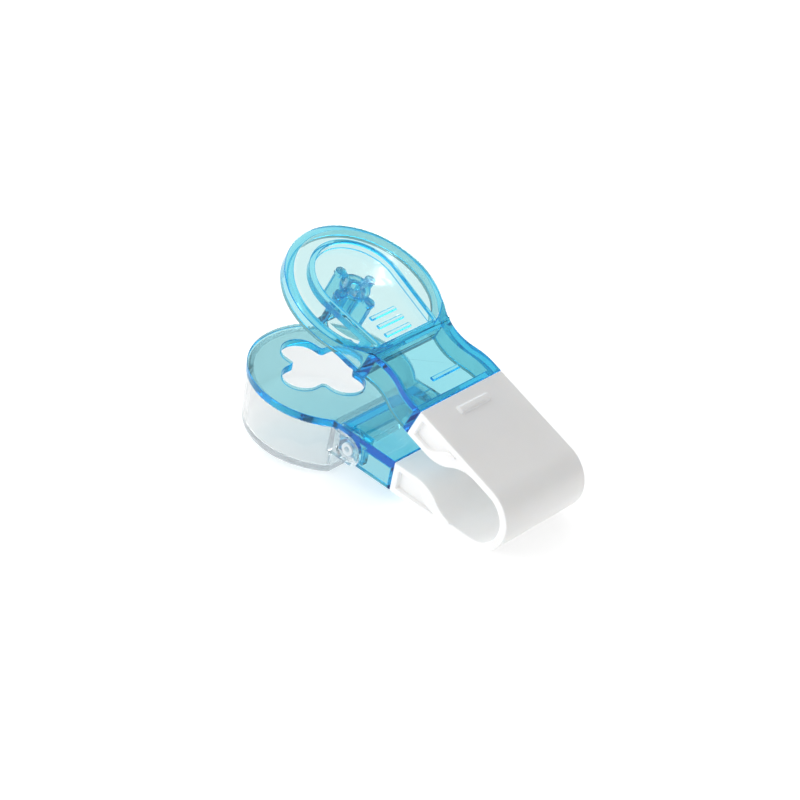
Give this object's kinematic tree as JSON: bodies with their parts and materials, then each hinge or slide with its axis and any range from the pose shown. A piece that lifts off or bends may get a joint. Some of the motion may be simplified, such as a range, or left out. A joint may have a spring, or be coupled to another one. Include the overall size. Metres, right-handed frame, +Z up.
{
  "type": "pill popper",
  "caption": "Squeeze-clip blister pill popper: translucent jaws with a cross-shaped pusher and opening, on a U-shaped spring clip, with a hinged clear pill box below.",
  "frame": {"origin": "on the surface it rests on, under the middle of the object's box", "axes": "+X from the jaws towards the bend of the clip, +Y across the clip, +Z up"},
  "size_m": [0.0924, 0.0422, 0.0551],
  "materials": {
    "clip_plastic": "satin",
    "tinted_plastic": "gloss",
    "pusher_plastic": "gloss",
    "clear_plastic": "gloss",
    "pin_plastic": "gloss"
  },
  "bodies": {
    "lower_half": {"clip_lower_arm": "clip_plastic", "clip_bend": "clip_plastic", "lower_jaw": "tinted_plastic", "pivot_pin_left": "pin_plastic", "pivot_pin_right": "pin_plastic"},
    "upper_half": {"clip_upper_arm": "clip_plastic", "upper_jaw": "tinted_plastic", "pusher": "pusher_plastic"},
    "box": {"pill_box": "clear_plastic"}
  },
  "joints": [
    {"name": "clip_squeeze", "type": "hinge", "parent": "lower_half", "child": "upper_half", "pos_m": [0.03692, 0, 0.00924], "axis": [0, -1, 0], "range_deg": [0, 19.5], "stiffness_Nm_per_rad": 2.6, "deforming": ["clip_bend"]},
    {"name": "box_hinge", "type": "hinge", "parent": "lower_half", "child": "box", "pos_m": [-0.00483, 0, 0.00972], "axis": [0, -1, 0], "range_deg": [0, 80]}
  ]
}
